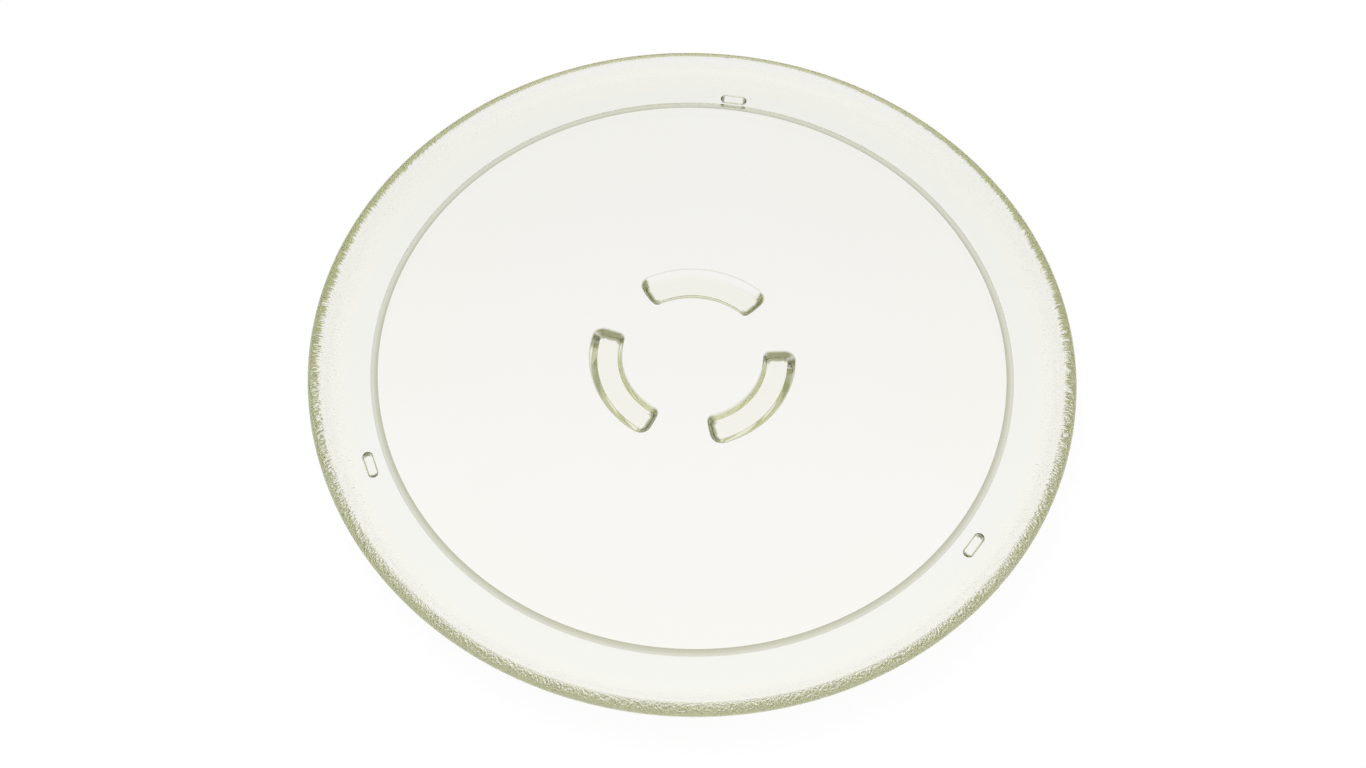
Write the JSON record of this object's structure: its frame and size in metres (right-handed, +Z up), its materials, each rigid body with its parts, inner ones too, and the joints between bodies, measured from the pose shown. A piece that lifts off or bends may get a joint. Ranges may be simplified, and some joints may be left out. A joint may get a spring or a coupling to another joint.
{
  "type": "turntable plate",
  "caption": "Round pressed-glass turntable plate of a microwave oven, with an upturned lip, a ring groove in its face, drive lugs under its middle and pips under its rim.",
  "frame": {"origin": "on the plate's axis, at the plane that its drive lugs stand on", "axes": "+Z up along the plate's axis, +Y through the middle of one drive lug and the pip in line with it"},
  "size_m": [0.28, 0.28, 0.0166],
  "materials": {
    "olive_glass": "clear pressed glass with a faint olive tint, stippled under the rim"
  },
  "bodies": {
    "root": {"glass_plate": "olive_glass"}
  },
  "joints": []
}
